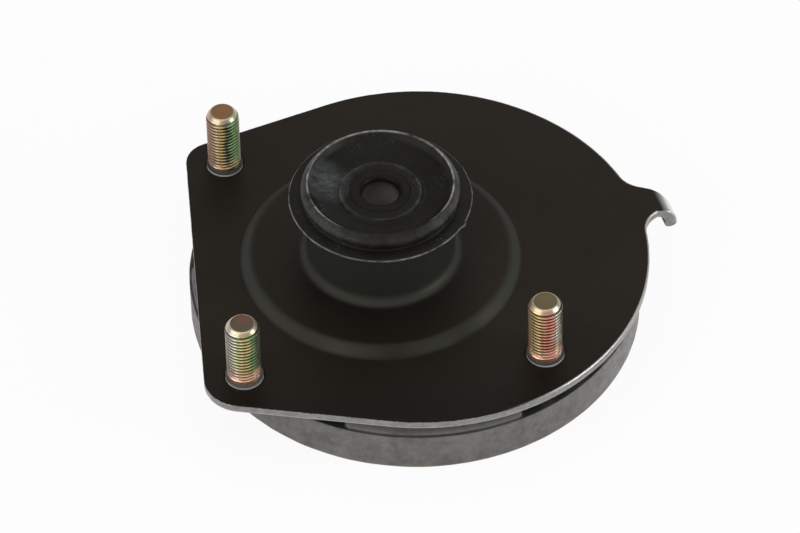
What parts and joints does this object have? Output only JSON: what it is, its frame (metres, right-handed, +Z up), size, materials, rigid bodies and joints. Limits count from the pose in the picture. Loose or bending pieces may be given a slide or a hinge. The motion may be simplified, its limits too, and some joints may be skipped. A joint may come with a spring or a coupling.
{
  "type": "strut mount",
  "caption": "Fixed upper strut mount: a pressed steel plate with studs holds a bonded rubber bush round a sleeve for the strut rod, with a padded rubber spring seat underneath.",
  "frame": {"origin": "centre of the bounding box's base: the spring seat's lower rim is on z = 0", "axes": "+Z points up along the strut rod towards the vehicle body, +X points from the plate's straight side towards its bent tab, +Y completes a right-handed frame"},
  "size_m": [0.1498, 0.1386, 0.051],
  "materials": {
    "plate_paint": "black paint, satin",
    "yellow_zinc": "yellow chromated zinc",
    "bush_rubber": "black moulded rubber, slightly glossy",
    "seat_rubber": "dusty grey rubber, matt",
    "dark_steel": "phosphated steel, dark"
  },
  "bodies": {
    "root": {"mounting_plate": "plate_paint", "stud_rear_left": "yellow_zinc", "stud_front_left": "yellow_zinc", "stud_front_right": "yellow_zinc", "bush_rubber": "bush_rubber", "spring_seat_rubber": "seat_rubber", "inner_sleeve": "dark_steel", "inner_plate": "dark_steel", "lower_cup": "plate_paint"}
  },
  "joints": []
}
